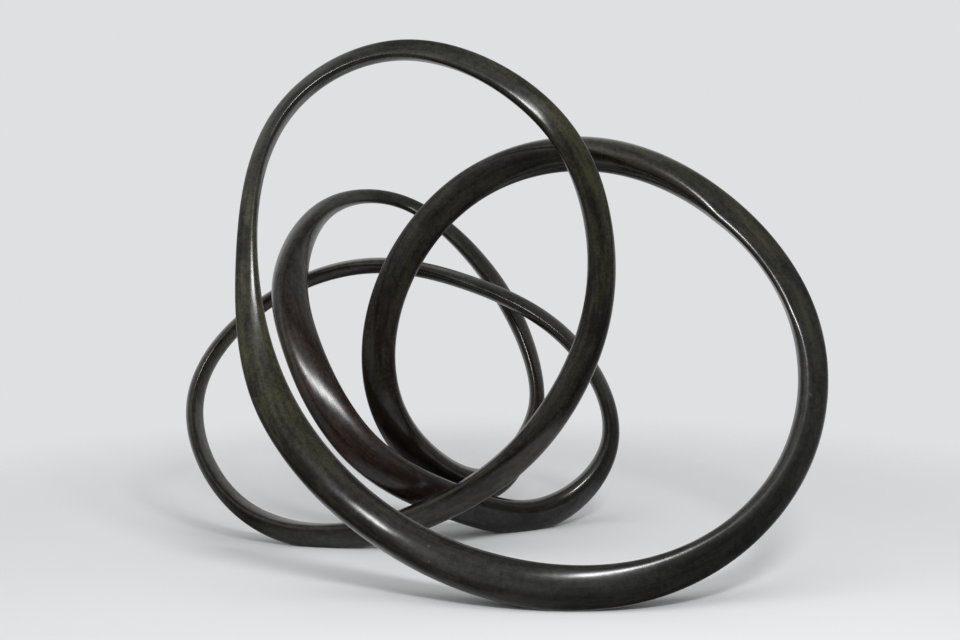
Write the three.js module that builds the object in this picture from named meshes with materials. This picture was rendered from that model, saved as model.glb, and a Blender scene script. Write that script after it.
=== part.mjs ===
import * as THREE from 'three';

// A cast bronze sculpture: one endless band that winds through four leaning turns and closes on
// itself. Millimetres, +Z up, +X to the right and +Y away from the front, with the origin on the
// floor under the middle of its box. The band stands on three small flats, under the front sweep,
// the low loop and the back of the leaning loop.

// Section of the band: three-sided, with soft ridges that wander round it as it runs
const RIDGES = 3;
const RIDGES_PER_LAP = 2;
const SIDES = 18;
const DEEP_BASE = 12;
const DEEP_SHARE = 0.62;
const FACE_POWER = 4;
const LEAST_ROUND = 0.02;
const OUTLINE_SAMPLES = 180;

// Sweep
const FRONT_TO_BACK = new THREE.Vector3(0, 1, 0);
const RINGS_PER_STATION = 7;
const SETTLING_PASSES = 50;
const FLOOR = 0;

// Bronze under a dark wax patina
const PATINA = { color: 0x1f1e19, roughness: 0.34, metalness: 0.85 };

// Stations that the middle of the band passes through, in the order in which it runs. wide is the
// band's width seen from the front. ridge is the place of its first ridge in degrees, 0 towards the
// front and positive towards the inside of the turn. round softens the ridges: 0 is sharp, 1 soft.
const TALL_RING_LEFT = [
  { at: [-80, -53, 557], wide: 22, ridge: 25, round: 0.12 },
  { at: [-210, -89, 484], wide: 19, ridge: 18, round: 0.3 },
  { at: [-235, -155, 335], wide: 22, ridge: 55, round: 0.5 },
  { at: [-200, -190, 184], wide: 40, ridge: 93, round: 0.2 },
  { at: [-96, -200, 69], wide: 42, ridge: 105, round: 0.5 },
];
const RIGHT_RING = [
  { at: [50, -235, 22], wide: 44, ridge: 89, round: 0.6 },
  { at: [203, -221, 40], wide: 37, ridge: 70, round: 0.25 },
  { at: [321, -158, 130], wide: 32, ridge: 48, round: 0.5 },
  { at: [346, -85, 266], wide: 31, ridge: 36, round: 0.06 },
  { at: [264, -42, 388], wide: 32, ridge: 30, round: 0.04 },
  { at: [129, 3, 448], wide: 39, ridge: -8, round: 1.2 },
  { at: [-16, 27, 409], wide: 39, ridge: -50, round: 0.4 },
  { at: [-107, 28, 282], wide: 39, ridge: -64, round: 0.4 },
  { at: [-101, 54, 135], wide: 41, ridge: -74, round: 0.5 },
  { at: [-9, 109, 49], wide: 42, ridge: -84, round: 0.6 },
];
const LEANING_LOOP = [
  { at: [51, 146, 87], wide: 29, ridge: -94, round: 0.4 },
  { at: [72, 164, 160], wide: 19, ridge: -101, round: 0.3 },
  { at: [41, 198, 257], wide: 23, ridge: -106, round: 0.3 },
  { at: [-24, 231, 345], wide: 22, ridge: -100, round: 0.3 },
  { at: [-108, 242, 401], wide: 18, ridge: -88, round: 0.25 },
  { at: [-191, 165, 391], wide: 24, ridge: -102, round: 0.25 },
  { at: [-228, 88, 316], wide: 42, ridge: -130, round: 0.22 },
  { at: [-207, 30, 225], wide: 46, ridge: -142, round: 0.2 },
  { at: [-136, 8, 113], wide: 45, ridge: -165, round: 0.6 },
  { at: [-30, 39, 44], wide: 43, ridge: -180, round: 1.2 },
];
const LOW_LOOP = [
  { at: [80, 97, 18], wide: 39, ridge: -200, round: 0.8 },
  { at: [162, 127, 102], wide: 22, ridge: -218, round: 0.4 },
  { at: [109, 145, 226], wide: 21, ridge: -230, round: 0.3 },
  { at: [-13, 162, 295], wide: 20, ridge: -236, round: 0.25 },
  { at: [-145, 167, 317], wide: 20, ridge: -254, round: 0.25 },
  { at: [-274, 149, 268], wide: 19, ridge: -257, round: 0.25 },
  { at: [-347, 94, 159], wide: 21, ridge: -241, round: 0.2 },
  { at: [-290, 25, 47], wide: 21, ridge: -225, round: 0.15 },
];
const TALL_RING_RIGHT = [
  { at: [-172, -1, 12], wide: 31, ridge: -202, round: 0.25 },
  { at: [-45, -23, 50], wide: 32, ridge: -202, round: 0.4 },
  { at: [57, -44, 129], wide: 35, ridge: -202, round: 0.5 },
  { at: [121, -59, 248], wide: 33, ridge: -204, round: 1.5 },
  { at: [127, -60, 374], wide: 30, ridge: -213, round: 0.35 },
  { at: [65, -65, 491], wide: 29, ridge: -200, round: 0.09 },
];

// A station as plain values, so that one spline carries its place, width, ridge and roundness
const RIDGE_VALUE = 4;
const stations = [TALL_RING_LEFT, RIGHT_RING, LEANING_LOOP, LOW_LOOP, TALL_RING_RIGHT]
  .flat()
  .map(({ at, wide, ridge, round }) => [...at, wide, ridge, round]);

// The closed list repeated endlessly. After each lap every ridge runs on into the next but one.
function onLap(list, index) {
  const lap = Math.floor(index / list.length);
  const values = list[index - lap * list.length];
  const turn = (lap * RIDGES_PER_LAP * 360) / RIDGES;
  return values.with(RIDGE_VALUE, values[RIDGE_VALUE] - turn);
}

// Control values of the closed cubic spline that passes through every station
function splineControls() {
  let controls = stations;
  for (let pass = 0; pass < SETTLING_PASSES; pass += 1) {
    const last = controls;
    controls = stations.map((station, i) => {
      const before = onLap(last, i - 1);
      const after = onLap(last, i + 1);
      return station.map((value, k) => (6 * value - before[k] - after[k]) / 4);
    });
  }
  return controls;
}

function weighted(controls, first, weights) {
  const near = weights.map((_, n) => onLap(controls, first + n));
  return near[0].map((_, k) => weights.reduce((sum, weight, n) => sum + weight * near[n][k], 0));
}

// The band at a place t, counted in stations: its middle, its direction and its section's values
function bandAt(controls, t) {
  const whole = Math.floor(t);
  const f = t - whole;
  const placing = [
    (1 - f) ** 3 / 6,
    (3 * f ** 3 - 6 * f ** 2 + 4) / 6,
    (-3 * f ** 3 + 3 * f ** 2 + 3 * f + 1) / 6,
    f ** 3 / 6,
  ];
  const heading = [
    -((1 - f) ** 2) / 2,
    (3 * f ** 2 - 4 * f) / 2,
    (-3 * f ** 2 + 2 * f + 1) / 2,
    f ** 2 / 2,
  ];
  const [x, y, z, wide, ridge, round] = weighted(controls, whole - 1, placing);
  const [dx, dy, dz] = weighted(controls, whole - 1, heading);
  const middle = new THREE.Vector3(x, y, z);
  const direction = new THREE.Vector3(dx, dy, dz).normalize();
  return { middle, direction, wide, ridge: THREE.MathUtils.degToRad(ridge), round };
}

// A point on the unit rounded triangle, at an angle counted from its first ridge
function trianglePoint(around, { ridge, round }) {
  let faces = Math.max(round, LEAST_ROUND);
  for (let face = 0; face < RIDGES; face += 1) {
    const fromFace = around - (2 * Math.PI * (face + 0.5)) / RIDGES;
    faces += Math.max(0, Math.cos(fromFace)) ** FACE_POWER;
  }
  const reach = faces ** (-1 / FACE_POWER);
  return new THREE.Vector2(reach * Math.sin(around + ridge), reach * Math.cos(around + ridge));
}

function outline(count, place) {
  return Array.from({ length: count }, (_, k) => trianglePoint((2 * Math.PI * k) / count, place));
}

// The section's corners, x towards the inside of the turn and y towards the front
function sectionCorners(place) {
  const box = new THREE.Box2().setFromPoints(outline(OUTLINE_SAMPLES, place));
  const centre = box.getCenter(new THREE.Vector2());
  const deep = DEEP_BASE + DEEP_SHARE * place.wide;
  const scale = new THREE.Vector2(place.wide, deep).divide(box.getSize(new THREE.Vector2()));
  return outline(SIDES, place).map((corner) => corner.sub(centre).multiply(scale));
}

// One ring of points round the band, pressed flat where it would dip under the floor
function ringPoints(place) {
  const inside = new THREE.Vector3().crossVectors(place.direction, FRONT_TO_BACK).normalize();
  const front = new THREE.Vector3().crossVectors(place.direction, inside);
  return sectionCorners(place).map((corner) => {
    const point = place.middle.clone();
    point.addScaledVector(inside, corner.x);
    point.addScaledVector(front, corner.y);
    point.z = Math.max(point.z, FLOOR);
    return point;
  });
}

function bandGeometry() {
  const controls = splineControls();
  const ringCount = stations.length * RINGS_PER_STATION;
  const points = [];
  for (let ring = 0; ring < ringCount; ring += 1) {
    points.push(...ringPoints(bandAt(controls, ring / RINGS_PER_STATION)));
  }
  const corner = (ring, side) => {
    const lap = Math.floor(ring / ringCount);
    const shifted = side - (lap * RIDGES_PER_LAP * SIDES) / RIDGES + SIDES;
    return (ring - lap * ringCount) * SIDES + (shifted % SIDES);
  };
  const triangles = [];
  for (let ring = 0; ring < ringCount; ring += 1) {
    for (let side = 0; side < SIDES; side += 1) {
      const a = corner(ring, side);
      const b = corner(ring + 1, side);
      const c = corner(ring + 1, side + 1);
      const d = corner(ring, side + 1);
      triangles.push(a, b, c, a, c, d);
    }
  }
  const geometry = new THREE.BufferGeometry().setFromPoints(points);
  geometry.setIndex(triangles);
  geometry.computeVertexNormals();
  geometry.computeBoundingBox();
  const middle = geometry.boundingBox.getCenter(new THREE.Vector3());
  geometry.translate(-middle.x, -middle.y, 0);
  return geometry;
}

const band = new THREE.Mesh(bandGeometry(), new THREE.MeshStandardMaterial(PATINA));
band.name = 'looped_band';

const sculpture = new THREE.Group();
sculpture.add(band);

export default sculpture;
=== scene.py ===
"""A cast bronze sculpture, one endless band under a dark waxed patina, on a pale studio floor."""

import math

import bpy
import numpy as np
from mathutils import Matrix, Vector


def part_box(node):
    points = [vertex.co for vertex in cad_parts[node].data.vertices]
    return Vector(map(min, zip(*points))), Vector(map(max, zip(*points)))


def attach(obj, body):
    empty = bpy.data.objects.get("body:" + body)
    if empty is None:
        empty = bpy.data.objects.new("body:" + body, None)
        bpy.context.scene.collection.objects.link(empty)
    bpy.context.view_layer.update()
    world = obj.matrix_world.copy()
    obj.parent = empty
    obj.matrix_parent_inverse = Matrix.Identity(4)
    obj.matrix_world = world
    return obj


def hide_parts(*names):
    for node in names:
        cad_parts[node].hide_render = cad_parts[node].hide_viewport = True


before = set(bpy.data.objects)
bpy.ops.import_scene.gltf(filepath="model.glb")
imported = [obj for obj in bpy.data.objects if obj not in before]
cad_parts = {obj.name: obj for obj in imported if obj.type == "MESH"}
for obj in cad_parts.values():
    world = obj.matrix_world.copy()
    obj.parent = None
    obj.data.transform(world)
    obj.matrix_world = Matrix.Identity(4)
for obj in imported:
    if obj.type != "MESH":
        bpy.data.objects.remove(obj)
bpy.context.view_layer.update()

MM = 0.001

# The band, as the solid has it: millimetres, then degrees for the ridge
RIDGES = 3
RIDGES_PER_LAP = 2
SIDES = 84
RINGS_PER_STATION = 28
DEEP_BASE = 12
DEEP_SHARE = 0.62
FACE_POWER = 4
LEAST_ROUND = 0.02
OUTLINE_SAMPLES = 180
SETTLING_PASSES = 50
WIDE, RIDGE, ROUND, OLIVE, BROWN = 3, 4, 5, 6, 7

# x, y, z of the middle of the band, its width from the front, its first ridge and its softness,
# then how olive and how brown its patina is
TALL_RING_LEFT = [
    (-80, -53, 557, 22, 25, 0.12, 0.3, 0),
    (-210, -89, 484, 19, 18, 0.3, 0.35, 0),
    (-235, -155, 335, 22, 55, 0.5, 1, 0),
    (-200, -190, 184, 40, 93, 0.2, 0.7, 0.1),
    (-96, -200, 69, 42, 105, 0.5, 0.2, 0.1),
]
RIGHT_RING = [
    (50, -235, 22, 44, 89, 0.6, 0.05, 0.05),
    (203, -221, 40, 37, 70, 0.25, 0.05, 0),
    (321, -158, 130, 32, 48, 0.5, 0.05, 0),
    (346, -85, 266, 31, 36, 0.06, 0.3, 0),
    (264, -42, 388, 32, 30, 0.04, 0.35, 0),
    (129, 3, 448, 39, -8, 1.2, 0.3, 0.05),
    (-16, 27, 409, 39, -50, 0.4, 0.3, 0.2),
    (-107, 28, 282, 39, -64, 0.4, 0.3, 0.45),
    (-101, 54, 135, 41, -74, 0.5, 0.15, 0.4),
    (-9, 109, 49, 42, -84, 0.6, 0.1, 0.3),
]
LEANING_LOOP = [
    (51, 146, 87, 29, -94, 0.4, 0.1, 0.4),
    (72, 164, 160, 19, -101, 0.3, 0.2, 0.8),
    (41, 198, 257, 23, -106, 0.3, 0.2, 0.3),
    (-24, 231, 345, 22, -100, 0.3, 0.1, 0),
    (-108, 242, 401, 18, -88, 0.25, 0.1, 0),
    (-191, 165, 391, 24, -102, 0.25, 0.2, 0),
    (-228, 88, 316, 42, -130, 0.22, 0.2, 0.3),
    (-207, 30, 225, 46, -142, 0.2, 0.1, 0.9),
    (-136, 8, 113, 45, -165, 0.6, 0, 1),
    (-30, 39, 44, 43, -180, 1.2, 0, 0.3),
]
LOW_LOOP = [
    (80, 97, 18, 39, -200, 0.8, 0, 0.15),
    (162, 127, 102, 22, -218, 0.4, 0.05, 0),
    (109, 145, 226, 21, -230, 0.3, 0.2, 0.1),
    (-13, 162, 295, 20, -236, 0.25, 0.3, 0),
    (-145, 167, 317, 20, -254, 0.25, 0.3, 0.2),
    (-274, 149, 268, 19, -257, 0.25, 0.5, 0.3),
    (-347, 94, 159, 21, -241, 0.2, 0.5, 0.1),
    (-290, 25, 47, 21, -225, 0.15, 0.3, 0.1),
]
TALL_RING_RIGHT = [
    (-172, -1, 12, 31, -202, 0.25, 0.2, 0.1),
    (-45, -23, 50, 32, -202, 0.4, 0.15, 0.3),
    (57, -44, 129, 35, -202, 0.5, 0.1, 0.5),
    (121, -59, 248, 33, -204, 1.5, 0.35, 0.15),
    (127, -60, 374, 30, -213, 0.35, 0.45, 0),
    (65, -65, 491, 29, -200, 0.09, 0.5, 0),
]
STATIONS = np.array(
    TALL_RING_LEFT + RIGHT_RING + LEANING_LOOP + LOW_LOOP + TALL_RING_RIGHT, dtype=float
)

# The hand-worked skin of the casting, metres
FLAT_HEIGHT = 0.0001
SKIN = {
    "Waver Depth": 0.00010,
    "Waver Length": 0.070,
    "Ripple Depth": 0.00003,
    "Ripple Length": 0.018,
    "Foot Height": 0.006,
}

# The patina: its tones, among them a ridge tone that is partly rubbed wear and partly painted
# highlight, and a pit tone that is painted glint, then the widths and lengths of what is drawn
# along the band, metres
DARK_PATINA = (0.009, 0.009, 0.0087, 1)
OLIVE_PATINA = (0.064, 0.062, 0.017, 1)
BROWN_PATINA = (0.044, 0.018, 0.010, 1)
STREAK_TONE = (0.002, 0.002, 0.0018, 1)
SPECK_TONE = (0.0015, 0.0015, 0.0013, 1)
# Lighter ridge tone: partly rubbed wear, partly painted highlight
RUBBED_AND_HIGHLIGHT_TONE = (0.060, 0.052, 0.038, 1)
# Pit tone: a painted glint
PIT_GLINT_TONE = (0.05, 0.05, 0.045, 1)
BROAD_STREAK = (0.013, 0.110)
FINE_STREAK = (0.0025, 0.030)
PATCH = (0.016, 0.050)
MOTTLE_LENGTH = 0.006
GRAIN_LENGTH = 0.0024
TOOTH_DEPTH = 0.0006
PATINA_ROUGHNESS = 0.22
PATINA_SHINE = 0.32
WAX_ROUGHNESS = 0.2
MOST_WAX = 0.7

# Small pits drawn only as painted glints, pale spots where they catch light: where they are and how
# far they reach, metres
PIT_GLINT_CORE = 0.4
PIT_GLINTS = [
    ((-0.0542, -0.2240, 0.0563), 0.0020),
    ((-0.0538, -0.2319, 0.0430), 0.0017),
    ((0.3362, -0.1396, 0.1938), 0.0018),
]

# Camera, lights and floor, metres and watts
CAMERA_PLACE = (-0.0044, -1.4507, 0.365)
CAMERA_TILT = math.radians(90 - 4.11)
LENS = 48
SENSOR = 36
AIM = Vector((0, 0, 0.25))
KEY = {"place": (0.31, -1.152, 1.108), "size": (0.36, 0.17), "watts": 9}
FILL = {"place": (-0.30, -0.40, 1.80), "size": (1.5, 1.5), "watts": 8}
FLOOR_RADIUS = 1.2
FLOOR_SIDES = 96
FLOOR_FADE = (0.45, 1.1)
FLOOR_FADE_IN_SHINE = (0.21, 0.30)
FLOOR_TONE = (0.80, 0.805, 0.815, 1)
BACKDROP_TONE = (0.74, 0.745, 0.755, 1)

# How bright the room is that the band mirrors
GLOW_FROM = (-0.20, -0.76, 0.62)
ROOM = {
    "all round": 0.08,
    "ceiling": 0.42,
    "left": 0.30,
    "back": 0.55,
    "right": 0.28,
    "low front": 0.17,
    "front right": 0.09,
    "glow": 0.42,
}


class Value:
    """A node's output that takes part in plain sums."""

    def __init__(self, graph, socket):
        self.graph = graph
        self.socket = socket

    def _sum(self, operation, first, second):
        return self.graph.node("ShaderNodeMath", {"operation": operation}, {0: first, 1: second})

    def __add__(self, other):
        return self._sum("ADD", self, other)

    def __radd__(self, other):
        return self._sum("ADD", other, self)

    def __sub__(self, other):
        return self._sum("SUBTRACT", self, other)

    def __rsub__(self, other):
        return self._sum("SUBTRACT", other, self)

    def __mul__(self, other):
        return self._sum("MULTIPLY", self, other)

    def __rmul__(self, other):
        return self._sum("MULTIPLY", other, self)


class Graph:
    """A node tree that is written one node at a time."""

    def __init__(self, tree):
        self.tree = tree

    def node(self, kind, settings=None, inputs=None, output=0):
        made = self.tree.nodes.new(kind)
        for name, value in (settings or {}).items():
            setattr(made, name, value)
        for name, value in (inputs or {}).items():
            if isinstance(value, Value):
                self.tree.links.new(value.socket, made.inputs[name])
            else:
                made.inputs[name].default_value = value
        return Value(self, made.outputs[output]) if len(made.outputs) else None

    def mix(self, factor, first, second):
        inputs = {0: factor, 6: first, 7: second}
        return self.node("ShaderNodeMix", {"data_type": "RGBA"}, inputs, output=2)

    def ease(self, value, low, high):
        settings = {"interpolation_type": "SMOOTHSTEP"}
        inputs = {"Value": value, "From Min": low, "From Max": high}
        return self.node("ShaderNodeMapRange", settings, inputs)

    def noise(self, vector, length, detail=3.0, roughness=0.5, w=None):
        settings = {"noise_dimensions": "3D" if w is None else "4D"}
        inputs = {"Vector": vector, "Scale": 1 / length, "Detail": detail, "Roughness": roughness}
        if w is not None:
            inputs["W"] = w
        return self.node("ShaderNodeTexNoise", settings, inputs, output="Fac")


def on_lap(values, index):
    """Stations repeated endlessly: after each lap the first ridge runs on into the next but one."""
    lap, place = np.divmod(index, len(values))
    found = values[place].copy()
    found[..., RIDGE] -= lap * RIDGES_PER_LAP * 360 / RIDGES
    return found


def spline_controls():
    """Control values of the closed cubic spline that passes through every station."""
    places = np.arange(len(STATIONS))
    controls = STATIONS
    for _ in range(SETTLING_PASSES):
        neighbours = on_lap(controls, places - 1) + on_lap(controls, places + 1)
        controls = (6 * STATIONS - neighbours) / 4
    return controls


def band_rings():
    """Middle, direction and section values of the band, ring by ring."""
    t = np.arange(len(STATIONS) * RINGS_PER_STATION) / RINGS_PER_STATION
    whole = np.floor(t).astype(int)
    f = t - whole
    placing = np.stack([
        (1 - f) ** 3 / 6,
        (3 * f ** 3 - 6 * f ** 2 + 4) / 6,
        (-3 * f ** 3 + 3 * f ** 2 + 3 * f + 1) / 6,
        f ** 3 / 6,
    ], axis=1)
    heading = np.stack([
        -((1 - f) ** 2) / 2,
        (3 * f ** 2 - 4 * f) / 2,
        (-3 * f ** 2 + 2 * f + 1) / 2,
        f ** 2 / 2,
    ], axis=1)
    near = on_lap(spline_controls(), whole[:, None] + np.arange(-1, 3))
    values = np.einsum("nk,nkc->nc", placing, near)
    direction = np.einsum("nk,nkc->nc", heading, near)[:, :3]
    return values, direction / np.linalg.norm(direction, axis=1, keepdims=True)


def triangle_outline(count, values):
    """Unit rounded triangles, one row of points for each ring, and the angle of each point."""
    around = np.arange(count)[None, :] * 2 * math.pi / count
    faces = np.maximum(values[:, ROUND, None], LEAST_ROUND)
    for face in range(RIDGES):
        from_face = around - 2 * math.pi * (face + 0.5) / RIDGES
        faces = faces + np.maximum(0, np.cos(from_face)) ** FACE_POWER
    reach = faces ** (-1 / FACE_POWER)
    turned = around + np.radians(values[:, RIDGE, None])
    return np.stack([reach * np.sin(turned), reach * np.cos(turned)], axis=2), turned


def band_points(values, direction, outline):
    """The band's points in its node's place, metres, pressed flat where it meets the floor."""
    fine, _ = triangle_outline(OUTLINE_SAMPLES, values)
    low, high = fine.min(axis=1), fine.max(axis=1)
    wide = values[:, WIDE]
    size = np.stack([wide, DEEP_BASE + DEEP_SHARE * wide], axis=1)
    outline = (outline - ((low + high) / 2)[:, None]) * (size / (high - low))[:, None]

    inside = np.cross(direction, (0, 1, 0))
    inside /= np.linalg.norm(inside, axis=1, keepdims=True)
    front = np.cross(direction, inside)
    reach = outline[..., :1] * inside[:, None] + outline[..., 1:] * front[:, None]
    points = values[:, None, :3] + reach
    points[..., 2] = np.maximum(points[..., 2], 0)
    points = points.reshape(-1, 3) * MM
    node_low, node_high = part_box("looped_band")
    shift = (np.array(node_low + node_high) - points.min(axis=0) - points.max(axis=0)) / 2
    points[:, :2] += shift[:2]
    return points


def band_quads(count):
    """Corners of the faces between one ring and the next, the last ring meeting the first."""
    ring, side = np.meshgrid(np.arange(count), np.arange(SIDES), indexing="ij")

    def corner(ring, side):
        lap, place = np.divmod(ring, count)
        return place * SIDES + (side - lap * RIDGES_PER_LAP * SIDES // RIDGES) % SIDES

    corners = [
        corner(ring, side),
        corner(ring + 1, side),
        corner(ring + 1, side + 1),
        corner(ring, side + 1),
    ]
    return np.stack(corners, axis=2).reshape(-1, 4)


def band_mesh():
    """The band's surface, with attributes that run along and round it, tint its patina and mark its
    ridges for the lighter rubbed wear and painted highlight lines.
    """
    values, direction = band_rings()
    outline, turned = triangle_outline(SIDES, values)
    count = len(values)
    mesh = bpy.data.meshes.new("bronze_band")
    points = band_points(values, direction, outline)
    mesh.from_pydata(points.tolist(), [], band_quads(count).tolist())

    steps = np.linalg.norm(np.roll(values[:, :3], -1, axis=0) - values[:, :3], axis=1) * MM
    lap_angle = (np.cumsum(steps) - steps) / steps.sum() * 2 * math.pi
    lap_radius = steps.sum() / (2 * math.pi)
    level = np.zeros(count)
    along = np.stack([np.cos(lap_angle), np.sin(lap_angle), level], axis=1) * lap_radius
    half = values[:, WIDE] * MM / 2
    across = np.stack([np.cos(turned), np.sin(turned), 0 * turned], axis=2) * half[:, None, None]
    on_ridge = 0.5 + 0.5 * np.cos(np.arange(SIDES) * 2 * math.pi * RIDGES / SIDES)
    add_attribute(mesh, "along", "FLOAT_VECTOR", np.repeat(along, SIDES, axis=0))
    add_attribute(mesh, "across", "FLOAT_VECTOR", across)
    add_attribute(mesh, "on_ridge", "FLOAT", np.tile(on_ridge, count))
    add_attribute(mesh, "olive", "FLOAT", np.repeat(values[:, OLIVE], SIDES))
    add_attribute(mesh, "brown", "FLOAT", np.repeat(values[:, BROWN], SIDES))
    return mesh


def add_attribute(mesh, name, kind, values):
    field = "vector" if kind == "FLOAT_VECTOR" else "value"
    layer = mesh.attributes.new(name, kind, "POINT")
    layer.data.foreach_set(field, np.asarray(values, dtype=np.float32).ravel())


def cast_skin():
    """Tree that gives the plain band its slightly uneven, hand-worked skin and its bronze."""
    tree = bpy.data.node_groups.new("cast_skin", "GeometryNodeTree")
    graph = Graph(tree)
    tree.interface.new_socket("Band", in_out="INPUT", socket_type="NodeSocketGeometry")
    for name in SKIN:
        tree.interface.new_socket(name, in_out="INPUT", socket_type="NodeSocketFloat")
    tree.interface.new_socket("Bronze", in_out="INPUT", socket_type="NodeSocketMaterial")
    tree.interface.new_socket("Band", in_out="OUTPUT", socket_type="NodeSocketGeometry")
    entry = tree.nodes.new("NodeGroupInput")
    given = {socket.name: Value(graph, socket) for socket in entry.outputs if socket.name}

    place = graph.node("GeometryNodeInputPosition")
    normal = graph.node("GeometryNodeInputNormal")
    height = graph.node("ShaderNodeSeparateXYZ", None, {0: place}, output="Z")
    off_floor = graph.ease(height, 0.0, given["Foot Height"])

    def swell(length, depth):
        scaled = graph.node("ShaderNodeVectorMath", {"operation": "DIVIDE"}, {0: place, 1: length})
        return (graph.noise(scaled, 1.0, detail=1.0) - 0.5) * 2 * depth

    relief = swell(given["Waver Length"], given["Waver Depth"])
    relief = (relief + swell(given["Ripple Length"], given["Ripple Depth"])) * off_floor
    offset = graph.node(
        "ShaderNodeVectorMath", {"operation": "SCALE"}, {0: normal, "Scale": relief}
    )
    smooth = graph.ease(height, 0.0, FLAT_HEIGHT)
    band = given["Band"]
    band = graph.node("GeometryNodeSetPosition", None, {"Geometry": band, "Offset": offset})
    band = graph.node(
        "GeometryNodeSetShadeSmooth", None, {"Geometry": band, "Shade Smooth": smooth}
    )
    band = graph.node("GeometryNodeRealizeInstances", None, {"Geometry": band})
    band = graph.node(
        "GeometryNodeSetMaterial", None, {"Geometry": band, "Material": given["Bronze"]}
    )
    graph.node("NodeGroupOutput", None, {0: band})
    return tree


def waxed_bronze():
    """Dark patina under wax: olive and brown clouds, streaks along the band, pits drawn as painted
    glints, ridges lightened partly as rubbed wear and partly as painted highlight lines.
    """
    material = bpy.data.materials.new("waxed_bronze")
    material.use_nodes = True
    material.node_tree.nodes.clear()
    graph = Graph(material.node_tree)
    place = graph.node("ShaderNodeTexCoord", output="Object")

    def attribute(name, output):
        return graph.node("ShaderNodeAttribute", {"attribute_name": name}, output=output)

    def axis(vector, name):
        return graph.node("ShaderNodeSeparateXYZ", None, {0: vector}, output=name)

    along = attribute("along", "Vector")
    across = attribute("across", "Vector")
    ridge = attribute("on_ridge", "Fac")
    olive_here = attribute("olive", "Fac")
    brown_here = attribute("brown", "Fac")

    def streaks(size, detail):
        width, length = size
        stretch = width / length
        vector = graph.node(
            "ShaderNodeCombineXYZ", None,
            {0: axis(along, "X") * stretch, 1: axis(along, "Y") * stretch, 2: axis(across, "X")},
        )
        return graph.noise(vector, width, detail, 0.55, w=axis(across, "Y"))

    broad = streaks(BROAD_STREAK, 3.0)
    fine = streaks(FINE_STREAK, 3.0)
    patches = streaks(PATCH, 4.0)
    mottle = graph.noise(place, MOTTLE_LENGTH, 4.0, 0.6)
    grain = graph.noise(place, GRAIN_LENGTH, 2.0, 0.6)
    drawn = 0.4 * broad + 0.25 * patches + 0.12 * fine + 0.23 * mottle

    clouds = patches + 0.5 * (broad - 0.5) + 0.2 * (mottle - 0.5)
    olive = olive_here * graph.ease(clouds, 0.15, 0.85)
    colour = graph.mix(olive, DARK_PATINA, OLIVE_PATINA)
    clouds = 0.6 * patches + 0.4 * broad - 0.2 * (mottle - 0.5)
    brown = brown_here * graph.ease(clouds, 0.72, 0.30)
    colour = graph.mix(brown, colour, BROWN_PATINA)
    dark = graph.ease(drawn, 0.57, 0.41)
    colour = graph.mix(0.7 * dark, colour, STREAK_TONE)
    specks = graph.ease(grain + 0.6 * (fine - 0.5), 0.58, 0.40)
    colour = graph.mix(0.45 * specks, colour, SPECK_TONE)
    # Ridges lightened: partly rubbed wear, partly a painted highlight line along each ridge
    rubbed_and_highlight = graph.ease(ridge + 0.5 * (fine - 0.5), 0.86, 1.05)
    colour = graph.mix(0.2 * rubbed_and_highlight, colour, RUBBED_AND_HIGHLIGHT_TONE)
    # Pale spots at the pits: painted glints
    for spot, size in PIT_GLINTS:
        away = graph.node(
            "ShaderNodeVectorMath", {"operation": "DISTANCE"}, {0: place, 1: spot}, output="Value"
        )
        colour = graph.mix(graph.ease(away, size, PIT_GLINT_CORE * size), colour, PIT_GLINT_TONE)

    wax = MOST_WAX * graph.ease(drawn + 0.1 * (grain - 0.5), 0.38, 0.62)
    roughness = PATINA_ROUGHNESS + 0.08 * (broad - 0.5) + 0.06 * (mottle - 0.5) - 0.03 * rubbed_and_highlight
    tooth = 0.6 * fine + 0.4 * mottle
    normal = graph.node(
        "ShaderNodeBump", None, {"Strength": 0.12, "Distance": TOOTH_DEPTH, "Height": tooth}
    )
    shader = graph.node(
        "ShaderNodeBsdfPrincipled", None,
        {
            "Base Color": colour, "Roughness": roughness, "Normal": normal, "Metallic": 0.0,
            "Specular IOR Level": PATINA_SHINE,
            "Coat Weight": wax, "Coat Roughness": WAX_ROUGHNESS,
        },
    )
    graph.node("ShaderNodeOutputMaterial", None, {"Surface": shader})
    return material


def bronze_band():
    piece = bpy.data.objects.new("bronze_band", band_mesh())
    bpy.context.scene.collection.objects.link(piece)
    skin = piece.modifiers.new("cast_skin", "NODES")
    skin.node_group = cast_skin()
    given = {"Bronze": waxed_bronze(), **SKIN}
    for socket in skin.node_group.interface.items_tree:
        if socket.in_out == "INPUT" and socket.name in given:
            skin[socket.identifier] = given[socket.name]
    evaluated = piece.evaluated_get(bpy.context.evaluated_depsgraph_get())
    skinned = bpy.data.meshes.new_from_object(evaluated)
    piece.modifiers.remove(skin)
    plain = piece.data
    piece.data = skinned
    bpy.data.meshes.remove(plain)
    skinned.name = "bronze_band"
    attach(piece, "root")
    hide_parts("looped_band")
    return piece


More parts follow.
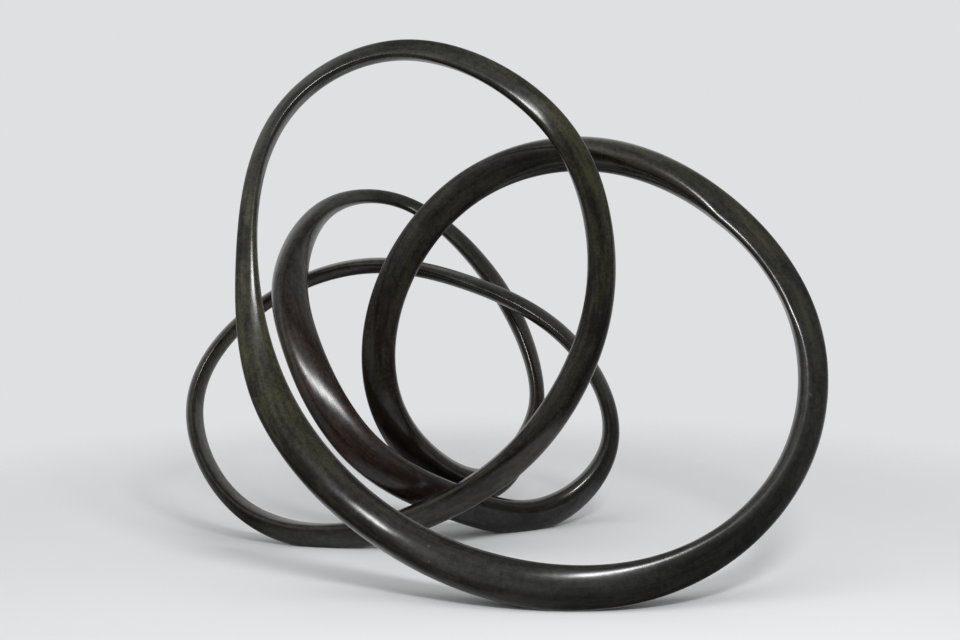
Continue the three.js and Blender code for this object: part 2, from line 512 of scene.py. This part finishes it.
def pale_floor():
    """A round pale floor that melts into the backdrop."""
    mesh = bpy.data.meshes.new("floor")
    turns = [2 * math.pi * step / FLOOR_SIDES for step in range(FLOOR_SIDES)]
    rim = [(FLOOR_RADIUS * math.cos(turn), FLOOR_RADIUS * math.sin(turn), 0) for turn in turns]
    mesh.from_pydata(rim, [], [tuple(range(FLOOR_SIDES))])
    floor = bpy.data.objects.new("floor", mesh)
    bpy.context.scene.collection.objects.link(floor)
    material = bpy.data.materials.new("pale_floor")
    material.use_nodes = True
    material.node_tree.nodes.clear()
    graph = Graph(material.node_tree)
    place = graph.node("ShaderNodeTexCoord", output="Object")
    reach = graph.node("ShaderNodeVectorMath", {"operation": "LENGTH"}, {0: place}, output="Value")
    seen = graph.node("ShaderNodeLightPath", output="Is Camera Ray")
    seen_fade = seen * graph.ease(reach, *FLOOR_FADE)
    fade = seen_fade + (1 - seen) * graph.ease(reach, *FLOOR_FADE_IN_SHINE)
    paint = graph.node("ShaderNodeBsdfDiffuse", None, {"Color": FLOOR_TONE})
    clear = graph.node("ShaderNodeBsdfTransparent")
    surface = graph.node("ShaderNodeMixShader", None, {0: fade, 1: paint, 2: clear})
    graph.node("ShaderNodeOutputMaterial", None, {"Surface": surface})
    mesh.materials.append(material)


def soft_light(name, place, size, watts):
    light = bpy.data.lights.new(name, "AREA")
    light.shape = "RECTANGLE"
    light.size, light.size_y = size
    light.energy = watts
    lamp = bpy.data.objects.new(name, light)
    bpy.context.scene.collection.objects.link(lamp)
    lamp.location = place
    lamp.visible_camera = False
    lamp.rotation_euler = (AIM - Vector(place)).to_track_quat("-Z", "Y").to_euler()
    return lamp


def studio():
    scene = bpy.context.scene
    scene.view_settings.view_transform = "Standard"
    world = bpy.data.worlds.new("studio")
    scene.world = world
    world.use_nodes = True
    world.node_tree.nodes.clear()
    graph = Graph(world.node_tree)
    direction = graph.node("ShaderNodeTexCoord", output="Generated")
    side = graph.node("ShaderNodeSeparateXYZ", None, {0: direction}, output="X")
    depth = graph.node("ShaderNodeSeparateXYZ", None, {0: direction}, output="Y")
    height = graph.node("ShaderNodeSeparateXYZ", None, {0: direction}, output="Z")
    towards = graph.node(
        "ShaderNodeVectorMath", {"operation": "DOT_PRODUCT"},
        {0: direction, 1: GLOW_FROM}, output="Value",
    )
    ceiling = ROOM["ceiling"] * graph.ease(height, 0.0, 0.8)
    left = ROOM["left"] * graph.ease(side, 0.1, -0.8) * graph.ease(height, -0.8, 0.1)
    back = ROOM["back"] * graph.ease(depth + 0.3 * side, 0.45, 0.95)
    right = ROOM["right"] * graph.ease(side + 0.4 * depth - 0.2 * height, 0.55, 1.0)
    low_front = ROOM["low front"] * graph.ease(depth, -0.35, -0.9) * graph.ease(height, 0.05, -0.3)
    front_right = ROOM["front right"] * graph.ease(0.7 * side - 0.7 * depth, 0.6, 1.0)
    glow = ROOM["glow"] * graph.ease(towards, 0.65, 0.97)
    strength = ROOM["all round"] + ceiling + left + back + right + low_front + front_right + glow
    room = graph.node("ShaderNodeBackground", None, {"Strength": strength})
    backdrop = graph.node("ShaderNodeBackground", None, {"Color": BACKDROP_TONE})
    seen = graph.node("ShaderNodeLightPath", output="Is Camera Ray")
    sky = graph.node("ShaderNodeMixShader", None, {0: seen, 1: room, 2: backdrop})
    graph.node("ShaderNodeOutputWorld", None, {"Surface": sky})
    soft_light("key_light", **KEY)
    fill = soft_light("fill_light", **FILL)
    fill.visible_glossy = False

    lens = bpy.data.cameras.new("camera")
    lens.lens = LENS
    lens.sensor_width = SENSOR
    camera = bpy.data.objects.new("camera", lens)
    scene.collection.objects.link(camera)
    camera.location = CAMERA_PLACE
    camera.rotation_euler = (CAMERA_TILT, 0, 0)
    scene.camera = camera


studio()
pale_floor()
bronze_band()
